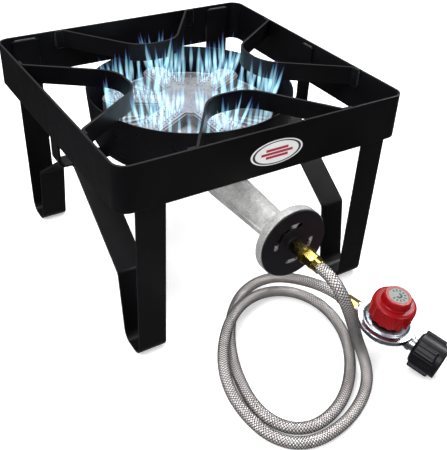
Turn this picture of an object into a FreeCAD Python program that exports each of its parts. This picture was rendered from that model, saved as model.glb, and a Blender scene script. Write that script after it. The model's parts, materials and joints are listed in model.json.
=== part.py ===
import FreeCAD, Part
import os
import math

# Free-standing outdoor gas burner stand: square bar-steel frame on four bent
# flat-bar legs, cast burner in a round wind shield, mixer tube with an air
# shutter, braided hose and an adjustable regulator lying on the floor.
# Frame: origin on the floor at the centre of the four feet, X to the right
# along the front band, Y towards the back, Z up.  Millimetres.

V = FreeCAD.Vector
X_POS, X_NEG = (1, 0, 0), (-1, 0, 0)
Y_POS, Y_NEG = (0, 1, 0), (0, -1, 0)
Z_POS = (0, 0, 1)

# ---------------------------------------------------------------- dimensions
BAND_W = 406.4          # outside width of the square top band
BAND_T = 3.2
BAND_H = 60.0
BAND_R = 18.0           # outside corner radius
BAND_INSIDE = BAND_W / 2.0 - BAND_T     # centre to the band's inside face
TOP_Z = 290.0           # top of the band and of the pot supports

SUPPORT_H = 25.4        # pot support bar, standing on edge
SUPPORT_T = 3.2
SUPPORT_END = 103.0     # half distance between the two ends of one support
SUPPORT_NOSE = 94.0     # distance from the centre to the nose face
SUPPORT_NOSE_R = 44.0   # centreline radius of the nose corners
SUPPORT_END_R = 5.0     # centreline radius where an arm meets its end tab
SUPPORT_TAB = 13.0      # length of the end tab along the band
SUPPORT_SLOPE = math.radians(35.5)      # angle of an arm from the Y axis

LEG_W = 38.1
LEG_T = 3.2
LEG_X0 = 143.2          # inner edge of a leg bar
LEG_X1 = LEG_X0 + LEG_W
LEG_TOP = 284.0
LEG_BEND_Z = 226.0      # the outer run starts to lean in here
KNEE_Y, KNEE_Z = 140.0, 98.5
FOOT_OUT, FOOT_IN = 195.4, 154.5
LEG_TAB_OUT, LEG_TAB_IN = 13.5, 1.0     # Y ends of the tab under the bracket

BRACKET_W = 25.4
BRACKET_T = 3.2
BRACKET_Z = 190.0       # underside of the burner bracket
BRACKET_TOP = 284.0     # top of its two upturned ends
BRACKET_BEND_R = 8.0
BRACKET_HOLE_R = 4.3
BOLT_R = 3.9

SHIELD_R = 142.0        # wind shield outside radius at the rim
SHIELD_RB = 137.0       # outside radius near the bottom
SHIELD_T = 1.5
SHIELD_TOP = 262.0
SHIELD_Z = BRACKET_Z + BRACKET_T        # the shield stands on the bracket
SHIELD_HOLES_R = 108.0  # pitch radius of the six floor holes

HEAD_R = 121.0          # burner head outside radius
HEAD_TOP = 242.0
HEAD_BOT = 212.0
HUB_R = 47.0
ARM_W = 38.0
ARMS = 6
ARM_STEP = 360.0 / ARMS
ARM_START = 30.0        # angle of the first arm
WEB_Z = 219.0           # underside of the round web between the arms
WEB_T = 6.0
RIM_R = HEAD_R - 5.0    # outside radius of the web and its rim
RIB_ANGLES = (-15.0, -7.5, 0.0, 7.5, 15.0)      # from the middle of a gap
RIB_W, RIB_H = 2.6, 4.0

JET_R = 1.25
JET_PITCH = 6.3
JETS_PER_ROW = 10
JET_START = 44.0        # radius of the first jet in an outer row
JET_OUTER, JET_INNER = 12.6, 8.0        # row distances from an arm's centreline
JET_TIP_ANGLES = (-60, -30, 0, 30, 60)  # jets round the end of an arm

NECK_Y = -58.0          # centre of the mixer neck under the burner head
NECK_BORE_R = 14.5
PAD_X, PAD_Y, PAD_R = 82, 48, 12        # matching pads of head and mixer tube
SCREW_X = 33.0          # mixer screws either side of the neck
TUBE_Z = 158.0          # mixer tube axis height
TUBE_BEND_R = 38.0
THROAT_R = 14.5         # bore radius at the front of the tube
BELL_Y = -256.0         # front face of the mixer bell
BELL_R = 47.5
TUBE_FRONT = BELL_Y + 10.0
TUBE_BEND_Y = NECK_Y - TUBE_BEND_R      # straight run ends, bend starts
FLANGE_Z0, FLANGE_Z1 = 203.0, 208.0     # flange at the top of the mixer tube
FIN_T = 2.6
SHUTTER_R = 46.5

# Stations along the mixer axis, each further forward than the last
SHUTTER_Y = BELL_Y - 0.1                # back of the air shutter
LOCKNUT_Y = SHUTTER_Y - 4.05            # back of the locknut
LOCKNUT_H = 4.0
ORIFICE_HEX_H = 15.0
ORIFICE_HEX_Y = LOCKNUT_Y - LOCKNUT_H   # back of the orifice hexagon
ORIFICE_HEX_END = ORIFICE_HEX_Y - ORIFICE_HEX_H
ORIFICE_END = ORIFICE_HEX_END - 12.0
FLARE_Y = ORIFICE_HEX_END - 1.0         # back of the flare nut
FLARE_SHOULDER_Y = FLARE_Y - 15.1       # inner shoulder of the flare nut
FLARE_END = FLARE_Y - 21.5
HOSE_Y = FLARE_END - 1.0                # hose starts here

HOSE_R = 7.5            # outside radius of the braid
HOSE_RI = 6.35          # inside radius of the braid
LINER_R = 6.2
LINER_RI = 4.75
STEM_R = 4.65           # hose stems inside the liner
STEM_BORE_R = 3.0
FERRULE_R = 8.7
FERRULE_L = 8.0
HOSE_LEAD = 16.0        # straight length at each end of the hose
LEAD_STEP = 2.0         # point spacing on the straight lengths
CURVE_STEP = 8.0        # aimed point spacing between them

REG_ORIGIN = V(101.84, -334.94, 40.5)   # point on the regulator's gas axis
REG_HEADING = math.radians(-69.0)       # heading of the gas axis
REG_TILT = math.radians(10.0)           # nut end dips by this angle
REG_FLANGE_Z = 9.0                      # flange plane above the gas axis
HOSE_END_X = -60.0                      # hose end, along the gas axis
PORT_R = 7.02                           # sockets in both ends of the regulator
FITTING_R = 7.0                         # spigots that enter them
SCREW_R = 3.0                           # adjusting screw
FLUTES = 14                             # hollows round the knob's skirt

BADGE_X, BADGE_Z = 3.4, 257.5
BADGE_A, BADGE_B = 37.5, 16.2           # half width and half height
BADGE_T = 0.6


# ------------------------------------------------------------------- helpers
def cyl(radius, start, direction, length):
    return Part.makeCylinder(radius, length, V(*start), V(*direction))


def ring(outer, inner, start, direction, length):
    return cyl(outer, start, direction, length).cut(cyl(inner, start, direction, length))


def up_cyl(radius, z, height, x=0, y=0):
    return cyl(radius, (x, y, z), Z_POS, height)


def back_cyl(radius, y, length):
    # on the mixer axis, from y towards the back
    return cyl(radius, (0, y, TUBE_Z), Y_POS, length)


def forward_cyl(radius, y, length):
    # on the mixer axis, from y towards the front
    return cyl(radius, (0, y, TUBE_Z), Y_NEG, length)


def mixer_cone(front_radius, back_radius, y, length):
    return Part.makeCone(front_radius, back_radius, length, V(0, y, TUBE_Z), V(*Y_POS))


def revolve_z(profile, base=0.0):
    # profile rows are (radius, z above base)
    points = [V(r, 0, base + z) for r, z in profile]
    face = Part.Face(Part.makePolygon(points + points[:1]))
    return face.revolve(V(0, 0, 0), V(*Z_POS), 360.0)


def revolve_x(profile):
    # profile rows are (x, radius)
    points = [V(x, 0, r) for x, r in profile]
    face = Part.Face(Part.makePolygon(points + points[:1]))
    return face.revolve(V(0, 0, 0), V(*X_POS), 360.0)


def hexnut(across_flats, start, direction, height, turn=0.0):
    # hexagonal prism with its corners turned down to a chamfer at both ends
    start, axis = V(*start), V(*direction)
    axis.normalize()
    reference = V(0, 0, 1) if abs(axis.z) < 0.9 else V(1, 0, 0)
    side = axis.cross(reference)
    side.normalize()
    other = axis.cross(side)
    corner_r = across_flats / math.sqrt(3.0)
    corners = []
    for i in range(7):
        angle = math.radians(60.0 * i + turn)
        corners.append(start + side * (corner_r * math.cos(angle))
                       + other * (corner_r * math.sin(angle)))
    prism = Part.Face(Part.makePolygon(corners)).extrude(axis * height)

    inset = corner_r - across_flats / 2.0
    chamfer = inset * 0.58              # close to a 30 degree slope
    margin = 0.01                       # the turned blank clears the corners
    near = Part.makeCone(corner_r - inset, corner_r + margin, chamfer + margin, start, axis)
    far = Part.makeCone(corner_r + margin, corner_r - inset, chamfer + margin,
                        start + axis * (height - chamfer - margin), axis)
    middle = cyl(corner_r + margin, start + axis * chamfer, direction, height - 2 * chamfer)
    return prism.common(near.fuse([middle, far]))


def line(start, end):
    return Part.LineSegment(start, end).toShape()


def strip_face(points, bend_radii, thickness):
    # edge view in XY of a bent strip: corners and bend radii of its centreline
    def heading(start, end):
        dx, dy = end[0] - start[0], end[1] - start[1]
        length = math.hypot(dx, dy)
        return dx / length, dy / length

    flats, bends = [], []
    begin = points[0]
    for before, corner, after, radius in zip(points, points[1:], points[2:], bend_radii):
        in_x, in_y = heading(before, corner)
        out_x, out_y = heading(corner, after)
        turn = math.atan2(in_x * out_y - in_y * out_x, in_x * out_x + in_y * out_y)
        setback = radius * math.tan(abs(turn) / 2.0)
        end = (corner[0] - in_x * setback, corner[1] - in_y * setback)
        sign = 1.0 if turn > 0 else -1.0
        centre = (end[0] - in_y * sign * radius, end[1] + in_x * sign * radius)
        start_angle = math.atan2(end[1] - centre[1], end[0] - centre[0])
        flats.append((begin, end, (in_x, in_y)))
        bends.append((centre, radius, sign, start_angle, turn))
        begin = (corner[0] + out_x * setback, corner[1] + out_y * setback)
    flats.append((begin, points[-1], heading(points[-2], points[-1])))

    def outline(offset):
        # one side of the strip, offset to the left of the centreline
        edges = []
        for i, (start, end, (dir_x, dir_y)) in enumerate(flats):
            shift = V(-dir_y * offset, dir_x * offset, 0)
            edges.append(line(V(*start, 0) + shift, V(*end, 0) + shift))
            if i < len(bends):
                centre, radius, sign, angle, turn = bends[i]
                r = radius - sign * offset
                arc = [V(centre[0] + r * math.cos(angle + turn * k),
                         centre[1] + r * math.sin(angle + turn * k), 0)
                       for k in (0.0, 0.5, 1.0)]
                edges.append(Part.Arc(*arc).toShape())
        return edges

    left, right = outline(thickness / 2.0), outline(-thickness / 2.0)
    caps = [line(left[i].Vertexes[i].Point, right[i].Vertexes[i].Point) for i in (0, -1)]
    return Part.Face(Part.Wire(Part.__sortEdges__(left + right + caps)))


# Rotations that stand a strip up: local (x, y, z) to (Y, Z, X) and to (X, Z, -Y)
TO_YZ = FreeCAD.Rotation(V(0, 1, 0), V(0, 0, 1), V(1, 0, 0), "ZXY")
TO_XZ = FreeCAD.Rotation(V(1, 0, 0), V(0, 0, 1), V(0, -1, 0), "ZXY")


def strip(points, bend_radii, thickness, low, high, rotation=None):
    # strip whose bar width runs from low to high along local z
    solid = strip_face(points, bend_radii, thickness).extrude(V(0, 0, high - low))
    solid.translate(V(0, 0, low))
    if rotation is not None:
        turn = FreeCAD.Placement(V(0, 0, 0), rotation)
        solid.Placement = turn.multiply(solid.Placement)
    return solid


def rounded_block(centre_y, width_x, width_y, radius, z, height):
    # block centred on X = 0 with rounded vertical corners
    arcs = []
    for sign_x, sign_y, start in ((1, -1, -90), (1, 1, 0), (-1, 1, 90), (-1, -1, 180)):
        x = sign_x * (width_x / 2.0 - radius)
        y = centre_y + sign_y * (width_y / 2.0 - radius)
        angles = [math.radians(start + turn) for turn in (0, 45, 90)]
        arcs.append([V(x + radius * math.cos(a), y + radius * math.sin(a), z)
                     for a in angles])
    edges = []
    for i, arc in enumerate(arcs):
        edges += [line(arcs[i - 1][2], arc[0]), Part.Arc(*arc).toShape()]
    return Part.Face(Part.Wire(edges)).extrude(V(0, 0, height))


def spring(radius, wire_r, z0, z1, turns):
    # open helical spring about Z between planes z0 and z1
    low, high = z0 + wire_r, z1 - wire_r
    helix = Part.makeHelix((high - low) / turns, high - low, radius)
    profile = Part.Wire([Part.makeCircle(wire_r, V(radius, 0, 0), V(0, 1, 0))])
    coil = Part.Wire(helix).makePipeShell([profile], True, True)
    coil.translate(V(0, 0, low))
    return coil


def save(name, shape):
    solids = shape.Solids
    if len(solids) == 1:
        shape = solids[0]
    elif len(solids) > 1:
        shape = Part.makeCompound(solids)
    if not shape.isValid():
        # guards against a repair that fails: the shape is then written as built
        try:
            shape.fix(0.01, 0.01, 0.01)
        except Exception:
            pass
    shape.exportStep("parts/" + name + ".step")


# --------------------------------------------------------------------- frame
def top_band():
    z = TOP_Z - BAND_H
    outer = rounded_block(0, BAND_W, BAND_W, BAND_R, z, BAND_H)
    inner_w = BAND_W - 2 * BAND_T
    return outer.cut(rounded_block(0, inner_w, inner_w, BAND_R - BAND_T, z, BAND_H))


def front_pot_support():
    # V-shaped bar with a flattened nose, its end tabs on the band's inside face
    tab_y = -BAND_INSIDE + SUPPORT_T / 2.0
    nose_y = -(SUPPORT_NOSE + SUPPORT_T / 2.0)
    nose_x = SUPPORT_END - (nose_y - tab_y) * math.tan(SUPPORT_SLOPE)
    tab_x = SUPPORT_END + SUPPORT_TAB
    points = [(-tab_x, tab_y), (-SUPPORT_END, tab_y), (-nose_x, nose_y),
              (nose_x, nose_y), (SUPPORT_END, tab_y), (tab_x, tab_y)]
    radii = [SUPPORT_END_R, SUPPORT_NOSE_R, SUPPORT_NOSE_R, SUPPORT_END_R]
    return strip(points, radii, SUPPORT_T, TOP_Z - SUPPORT_H, TOP_Z)


def rear_right_leg():
    # down from the band, in along the floor, up over the knee to the bracket
    top_y = BAND_INSIDE - LEG_T / 2.0
    foot_z = LEG_T / 2.0
    tab_z = BRACKET_Z - LEG_T / 2.0
    points = [(top_y, LEG_TOP), (top_y, LEG_BEND_Z), (FOOT_OUT, foot_z), (FOOT_IN, foot_z),
              (KNEE_Y, KNEE_Z), (LEG_TAB_OUT, tab_z), (LEG_TAB_IN, tab_z)]
    radii = [120.0, 15.0, 15.0, 9.0, 9.0]
    return strip(points, radii, LEG_T, LEG_X0, LEG_X1, TO_YZ)


def burner_bracket():
    # flat bar across the stand with both ends turned up against the band
    end_x = BAND_INSIDE - BRACKET_T / 2.0
    z = BRACKET_Z + BRACKET_T / 2.0
    bar = strip([(-end_x, BRACKET_TOP), (-end_x, z), (end_x, z), (end_x, BRACKET_TOP)],
                [BRACKET_BEND_R, BRACKET_BEND_R], BRACKET_T,
                -BRACKET_W / 2.0, BRACKET_W / 2.0, TO_XZ)
    return bar.cut(up_cyl(BRACKET_HOLE_R, BRACKET_Z - 5, 20))


# --------------------------------------------------------------- wind shield
def wind_shield():
    outer, inner = SHIELD_RB, SHIELD_RB - SHIELD_T
    # (radius, height above the bracket): outside up to the rim, inside back down
    profile = [
        (0, 0), (outer - 8, 0), (outer - 3.2, 1.2), (outer - 0.8, 3.8), (outer, 8),
        (SHIELD_R, SHIELD_TOP - SHIELD_Z), (SHIELD_R - SHIELD_T, SHIELD_TOP - SHIELD_Z),
        (inner, 8.4), (inner - 0.9, 5.2), (inner - 3.0, 2.6), (inner - 7, SHIELD_T),
        (0, SHIELD_T)]
    pan = revolve_z(profile, SHIELD_Z)
    hole_z, hole_h = SHIELD_Z - 1, 5
    pan = pan.cut(up_cyl(4.6, hole_z, hole_h))                  # burner bolt
    pan = pan.cut(up_cyl(27.5, hole_z, hole_h, y=NECK_Y))       # mixer neck
    for degrees in range(0, 360, 60):
        angle = math.radians(degrees)
        pan = pan.cut(up_cyl(6.0, hole_z, hole_h, SHIELD_HOLES_R * math.cos(angle),
                             SHIELD_HOLES_R * math.sin(angle)))
    return pan


# --------------------------------------------------------------- burner head
def star(width, tip_r, hub_r, z, height):
    # round hub with radial arms that end in half circles
    arms = []
    for k in range(ARMS):
        bar = Part.makeBox(tip_r - width * 0.5, width, height, V(0, -width / 2.0, z))
        bar = bar.fuse(up_cyl(width / 2.0, z, height, tip_r - width / 2.0))
        bar.rotate(V(0, 0, 0), V(*Z_POS), ARM_START + ARM_STEP * k)
        arms.append(bar)
    return up_cyl(hub_r, z, height).fuse(arms).removeSplitter()


def head_ribs():
    # radial ribs on the web, in a fan between each pair of arms
    ribs = []
    for k in range(ARMS):
        for angle in RIB_ANGLES:
            start = 62.0 + abs(angle) * 1.6
            rib = Part.makeBox(HEAD_R - 8.0 - start, RIB_W, RIB_H,
                               V(start, -RIB_W / 2.0, WEB_Z + 5.0))
            rib.rotate(V(0, 0, 0), V(*Z_POS), ARM_STEP * k + angle)
            ribs.append(rib)
    return ribs


def head_jets():
    # two rows along each side of an arm, then an arc round its tip
    jets = []
    for k in range(ARMS):
        angle = math.radians(ARM_START + ARM_STEP * k)
        cos_arm, sin_arm = math.cos(angle), math.sin(angle)
        spots = []
        for offset, stagger in ((JET_OUTER, 0.0), (JET_INNER, JET_PITCH / 2.0)):
            for side in (-1, 1):
                for i in range(JETS_PER_ROW):
                    spots.append((JET_START + JET_PITCH * i + stagger, side * offset))
        for degrees in JET_TIP_ANGLES:
            tip = math.radians(degrees)
            spots.append((HEAD_R - ARM_W / 2.0 + JET_OUTER * math.cos(tip),
                          JET_OUTER * math.sin(tip)))
        for along, across in spots:
            jets.append(up_cyl(JET_R, HEAD_TOP - 8, 10,
                               along * cos_arm - across * sin_arm,
                               along * sin_arm + across * cos_arm))
    return Part.makeCompound(jets)


def burner_head():
    head = star(ARM_W, HEAD_R, HUB_R, HEAD_BOT, HEAD_TOP - HEAD_BOT - 2.5)
    # shallow raised deck, set in from the edge
    deck = star(ARM_W - 4.0, HEAD_R - 2.0, HUB_R - 2.0, HEAD_TOP - 2.6, 2.6)
    web = up_cyl(RIM_R, WEB_Z, WEB_T)
    rim = ring(RIM_R, RIM_R - 4.0, (0, 0, WEB_Z), Z_POS, 12.0)
    pad = rounded_block(NECK_Y, PAD_X, PAD_Y, PAD_R, FLANGE_Z1, 12.0)
    boss_z = SHIELD_Z + SHIELD_T
    boss = up_cyl(14.0, boss_z, HEAD_BOT - boss_z + 2)
    head = head.fuse([deck, web, rim, pad, boss] + head_ribs())
    # gas cavity, neck inlet, bolt hole and mixer screw holes
    head = head.cut(star(ARM_W - 9.0, HEAD_R - 4.5, HUB_R - 5.0, 217.0, 18.5))
    head = head.cut(up_cyl(NECK_BORE_R, 200, 25, y=NECK_Y))
    head = head.cut(up_cyl(BOLT_R + 0.05, SHIELD_Z, 16.0))
    for side in (-1, 1):
        head = head.cut(up_cyl(2.55, 200, 17, side * SCREW_X, NECK_Y))
    return head.cut(head_jets())


# ---------------------------------------------------------------- mixer tube
def tube_body(front_r, back_r, front_y, top_z):
    # tapered straight run, quarter bend and upright neck
    straight = mixer_cone(front_r, back_r, front_y, TUBE_BEND_Y - front_y)
    circle = Part.makeCircle(back_r, V(0, TUBE_BEND_Y, TUBE_Z), V(*Y_POS))
    elbow = Part.Face(Part.Wire([circle])).revolve(
        V(0, TUBE_BEND_Y, TUBE_Z + TUBE_BEND_R), V(*X_POS), 90.0)
    neck_z = TUBE_Z + TUBE_BEND_R
    neck = up_cyl(back_r, neck_z, top_z - neck_z, y=NECK_Y)
    return straight.fuse([elbow, neck])


def kidney(inner, outer, start_angle, end_angle, y, depth):
    # curved slot about the mixer axis, angles in degrees from +X towards +Z
    slot = ring(outer, inner, (0, y, TUBE_Z), Y_POS, depth)
    mid_r, half_w = (inner + outer) / 2.0, (outer - inner) / 2.0
    reach = 200.0                       # wedge radius, well outside the slot
    sector = [V(0, y, TUBE_Z)]
    for i in range(9):
        angle = math.radians(start_angle + (end_angle - start_angle) * i / 8.0)
        sector.append(V(reach * math.cos(angle), y, TUBE_Z + reach * math.sin(angle)))
    sector.append(sector[0])
    wedge = Part.Face(Part.makePolygon(sector)).extrude(V(0, depth, 0))
    ends = []
    for degrees in (start_angle, end_angle):
        angle = math.radians(degrees)
        centre = (mid_r * math.cos(angle), y, TUBE_Z + mid_r * math.sin(angle))
        ends.append(cyl(half_w, centre, Y_POS, depth))
    return slot.common(wedge).fuse(ends)


def mixer_tube():
    outside = tube_body(18.0, 24.5, TUBE_FRONT, FLANGE_Z1)
    flange = rounded_block(NECK_Y, PAD_X, PAD_Y, PAD_R, FLANGE_Z0, FLANGE_Z1 - FLANGE_Z0)
    bell = back_cyl(BELL_R, BELL_Y, 11.0)
    bell_back = mixer_cone(30.0, 18.0, BELL_Y + 11.0, 7.0)
    # parting-line fins left by the mould along both sides of the tube
    run = TUBE_BEND_Y - TUBE_FRONT
    fin_x = 24.0
    fins = Part.makeBox(2 * fin_x, run - 2, FIN_T,
                        V(-fin_x, TUBE_FRONT + 1, TUBE_Z - FIN_T / 2.0))
    fins = fins.common(mixer_cone(20.2, 27.0, TUBE_FRONT, run))
    tube = outside.fuse([flange, bell, bell_back, fins])
    # bore, neck opening and funnel behind the bell face
    tube = tube.cut(tube_body(THROAT_R, 20.0, BELL_Y + 9.5, 204.0))
    tube = tube.cut(up_cyl(NECK_BORE_R, 203.5, 10.0, y=NECK_Y))
    tube = tube.cut(mixer_cone(38.0, THROAT_R, BELL_Y + 3.6, 6.0))
    tube = tube.fuse(back_cyl(11.5, BELL_Y, 9.0))               # hub in the bell
    for k in range(4):
        tube = tube.cut(kidney(17.0, 29.0, 90 * k + 22, 90 * k + 68, BELL_Y - 1, 6.0))
    tube = tube.cut(back_cyl(6.02, BELL_Y - 1, 14))
    for side in (-1, 1):
        tube = tube.cut(up_cyl(3.0, 200, 12, side * SCREW_X, NECK_Y))
    return tube.removeSplitter()


def mixer_screws():
    screws = []
    for side in (-1, 1):
        x = side * SCREW_X
        screw = hexnut(9.0, (x, NECK_Y, FLANGE_Z0 - 4.0), Z_POS, 4.0)
        screws.append(screw.fuse(up_cyl(2.5, FLANGE_Z0 - 0.1, 12.5, x, NECK_Y)))
    return Part.makeCompound(screws)


def burner_bolt():
    bolt_head = hexnut(13.0, (0, 0, BRACKET_Z - 7.3), Z_POS, 5.3)
    return bolt_head.fuse(up_cyl(BOLT_R, BRACKET_Z - 2.1, 17.0))


def burner_washer():
    return ring(10.0, BRACKET_HOLE_R, (0, 0, BRACKET_Z - 2.0), Z_POS, 1.95)


# -------------------------------------------------- air shutter and orifice
def air_shutter():
    disc = forward_cyl(SHUTTER_R, SHUTTER_Y, 2.0)
    disc = disc.fuse(forward_cyl(11.0, SHUTTER_Y, 4.0))
    for start, end in ((76, 120), (138, 178), (256, 300), (318, 358)):
        disc = disc.cut(kidney(22.5, 29.5, start, end, SHUTTER_Y - 6, 8.0))
    disc = disc.cut(forward_cyl(6.57, SHUTTER_Y + 1, 8.0))
    return disc.removeSplitter()


def shutter_locknut():
    nut = hexnut(15.0, (0, LOCKNUT_Y, TUBE_Z), Y_NEG, LOCKNUT_H, 10)
    return nut.cut(forward_cyl(6.52, LOCKNUT_Y + 1, 8.0))


def orifice_fitting():
    back = ORIFICE_HEX_Y
    fitting = back_cyl(6.5, back - 1.0, BELL_Y - back + 1.0)
    fitting = fitting.fuse(back_cyl(6.0, BELL_Y, 9.5))
    fitting = fitting.fuse(mixer_cone(5.0, 2.2, BELL_Y + 9.4, 7.0))
    fitting = fitting.fuse(hexnut(17.0, (0, back, TUBE_Z), Y_NEG, ORIFICE_HEX_H, 14))
    fitting = fitting.fuse(forward_cyl(7.9, ORIFICE_HEX_END + 0.5, 12.5))
    # gas bore, then the fine orifice out of the cone
    fitting = fitting.cut(back_cyl(3.2, ORIFICE_END - 1, BELL_Y + 9 - ORIFICE_END))
    return fitting.cut(back_cyl(0.9, BELL_Y, 20.0))


def flare_nut():
    nut = forward_cyl(11.2, FLARE_Y, 5.0)
    nut = nut.fuse(hexnut(17.5, (0, FLARE_Y - 4.0, TUBE_Z), Y_NEG, 17.5, 22))
    nut = nut.cut(forward_cyl(7.96, FLARE_Y + 1, 16.1))
    return nut.cut(forward_cyl(6.28, FLARE_Y, 30.0))


def hose_stem_burner():
    collar_y, neck_y = ORIFICE_END - 0.05, ORIFICE_END - 1.0
    stem = forward_cyl(7.8, collar_y, collar_y - (FLARE_SHOULDER_Y + 0.06))
    stem = stem.fuse(forward_cyl(6.2, neck_y, neck_y - HOSE_Y))
    stem = stem.fuse(forward_cyl(STEM_R, HOSE_Y + 0.5, 13.5))
    return stem.cut(forward_cyl(STEM_BORE_R, ORIFICE_END + 2, 60.0))


def ferrule(start, direction):
    return ring(FERRULE_R, HOSE_R + 0.05, start, direction, FERRULE_L)


def hose_ferrule_burner():
    return ferrule((0, HOSE_Y - 0.1, TUBE_Z), Y_NEG)


# ----------------------------------------------------------- regulator frame
# Local x runs along the gas axis to the coupling nut, local z up the knob stem.
REG_X = V(math.cos(REG_HEADING) * math.cos(REG_TILT),
          math.sin(REG_HEADING) * math.cos(REG_TILT), -math.sin(REG_TILT))
REG_Z = V(math.cos(REG_HEADING) * math.sin(REG_TILT),
          math.sin(REG_HEADING) * math.sin(REG_TILT), math.cos(REG_TILT))
REG_Y = REG_Z.cross(REG_X)
REG_PLACEMENT = FreeCAD.Placement(FreeCAD.Matrix(
    REG_X.x, REG_Y.x, REG_Z.x, REG_ORIGIN.x,
    REG_X.y, REG_Y.y, REG_Z.y, REG_ORIGIN.y,
    REG_X.z, REG_Y.z, REG_Z.z, REG_ORIGIN.z,
    0, 0, 0, 1))


def place(shape):
    shape = shape.copy()
    shape.Placement = REG_PLACEMENT.multiply(shape.Placement)
    return shape


# ---------------------------------------------------------------------- hose
# Centreline from the burner to the regulator (X, Y, Z), in two loops on the floor
HOSE_POINTS = [
    (0.6, -338.5, 153.6), (5.5, -350.5, 138.0), (14.5, -354.0, 116.0), (26.0, -351.5, 92.0),
    (38.0, -347.5, 68.0), (48.0, -346.5, 45.5), (53.5, -352.5, 27.0), (50.5, -366.0, 14.0),
    (34.5, -384.4, 7.9), (14.2, -398.3, 7.6), (-13.2, -410.5, 7.6), (-37.2, -416.2, 7.6),
    (-66.8, -416.8, 7.6), (-89.3, -408.5, 7.6), (-107.7, -386.4, 7.6), (-114.7, -362.9, 7.8),
    (-117.3, -338.7, 9.7), (-116.4, -310.1, 15.7), (-110.2, -287.2, 20.9), (-96.7, -261.4, 23.7),
    (-82.4, -241.7, 24.1), (-62.4, -220.3, 24.1), (-43.3, -205.1, 23.7), (-22.3, -193.0, 21.8),
    (5.0, -183.3, 17.0), (29.3, -180.9, 12.4), (56.4, -189.8, 8.6), (72.2, -208.1, 7.6),
    (80.9, -236.3, 7.6), (80.9, -260.7, 7.6), (74.6, -289.3, 7.6), (65.0, -311.8, 7.6),
    (52.2, -332.5, 7.6), (33.5, -355.1, 7.6), (15.7, -371.7, 7.6), (-8.8, -387.8, 7.6),
    (-31.7, -396.5, 7.6), (-60.9, -398.3, 7.6), (-82.2, -387.9, 7.6), (-95.4, -367.7, 7.6),
    (-100.0, -338.8, 7.6), (-97.5, -314.4, 7.6), (-90.6, -286.0, 7.6), (-82.4, -263.0, 7.6),
    (-69.8, -236.6, 7.6), (-57.2, -215.8, 7.6), (-39.6, -192.6, 7.6), (-22.1, -175.2, 8.0),
    (-1.0, -161.6, 9.9), (25.3, -159.8, 17.5), (42.2, -172.7, 27.6), (52.1, -193.8, 38.3),
    (59.0, -217.0, 47.6), (66.0, -240.0, 53.6),
]
HOSE_START = V(0, HOSE_Y, TUBE_Z)


def clamped_spline(points, start_tangent, end_tangent, step):
    # C2 cubic through the points with unit end tangents and chord-length
    # parameters, returned as closely spaced points
    n = len(points)
    chord = [points[i + 1].distanceToPoint(points[i]) for i in range(n - 1)]
    # tridiagonal equations for the tangents at the inner points
    lower, diagonal, upper, right = [], [], [], []
    for i in range(1, n - 1):
        before, after = chord[i - 1], chord[i]
        lower.append(after)
        diagonal.append(2.0 * (before + after))
        upper.append(before)
        value = ((points[i] - points[i - 1]) * (3.0 * after / before)
                 + (points[i + 1] - points[i]) * (3.0 * before / after))
        if i == 1:
            value = value - start_tangent * after
        if i == n - 2:
            value = value - end_tangent * before
        right.append(value)
    for i in range(1, n - 2):
        factor = lower[i] / diagonal[i - 1]
        diagonal[i] -= factor * upper[i - 1]
        right[i] = right[i] - right[i - 1] * factor
    inner = [right[-1] * (1.0 / diagonal[-1])]
    for i in range(n - 4, -1, -1):
        inner.insert(0, (right[i] - inner[0] * upper[i]) * (1.0 / diagonal[i]))
    tangents = [start_tangent] + inner + [end_tangent]

    samples = []
    for i in range(n - 1):
        count = max(2, int(round(chord[i] / step)))
        for j in range(count):
            u = float(j) / count
            samples.append(
                points[i] * (2 * u ** 3 - 3 * u ** 2 + 1)
                + tangents[i] * ((u ** 3 - 2 * u ** 2 + u) * chord[i])
                + points[i + 1] * (-2 * u ** 3 + 3 * u ** 2)
                + tangents[i + 1] * ((u ** 3 - u ** 2) * chord[i]))
    samples.append(points[-1])
    return samples


def hose_centreline():
    curve_start = HOSE_START + V(0, -HOSE_LEAD, 0)
    curve_end = REG_ORIGIN + REG_X * (HOSE_END_X - HOSE_LEAD)
    knots = [curve_start] + [V(*point) for point in HOSE_POINTS] + [curve_end]
    curve = clamped_spline(knots, V(*Y_NEG), REG_X, CURVE_STEP)
    count = int(HOSE_LEAD / LEAD_STEP)
    lead = [HOSE_START + V(0, -LEAD_STEP * i, 0) for i in range(count)]
    tail = [curve_end + REG_X * (LEAD_STEP * i) for i in range(1, count + 1)]
    spline = Part.BSplineCurve()
    spline.interpolate(Points=lead + curve + tail)
    return Part.Wire([spline.toShape()])


HOSE_PATH = hose_centreline()


def hose_sweep(radius):
    circle = Part.Wire([Part.makeCircle(radius, HOSE_START, V(*Y_NEG))])
    return HOSE_PATH.makePipeShell([circle], True, False)


def hose_braid():
    return hose_sweep(HOSE_R).cut(hose_sweep(HOSE_RI))


def hose_liner():
    return hose_sweep(LINER_R).cut(hose_sweep(LINER_RI))


# ----------------------------------------- regulator, in its own local frame
# Heights along the stem are measured from the flange plane.
def stem_point(height):
    return (0, 0, REG_FLANGE_Z + height)


def stem_cyl(radius, height, length):
    return cyl(radius, stem_point(height), Z_POS, length)


def stem_turned(profile):
    # profile rows are (radius, height)
    return revolve_z(profile, REG_FLANGE_Z)


def gas_cyl(radius, x, length):
    return cyl(radius, (x, 0, 0), X_POS, length)


def hose_ferrule_regulator():
    return ferrule((HOSE_END_X - 0.1, 0, 0), X_NEG)


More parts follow.
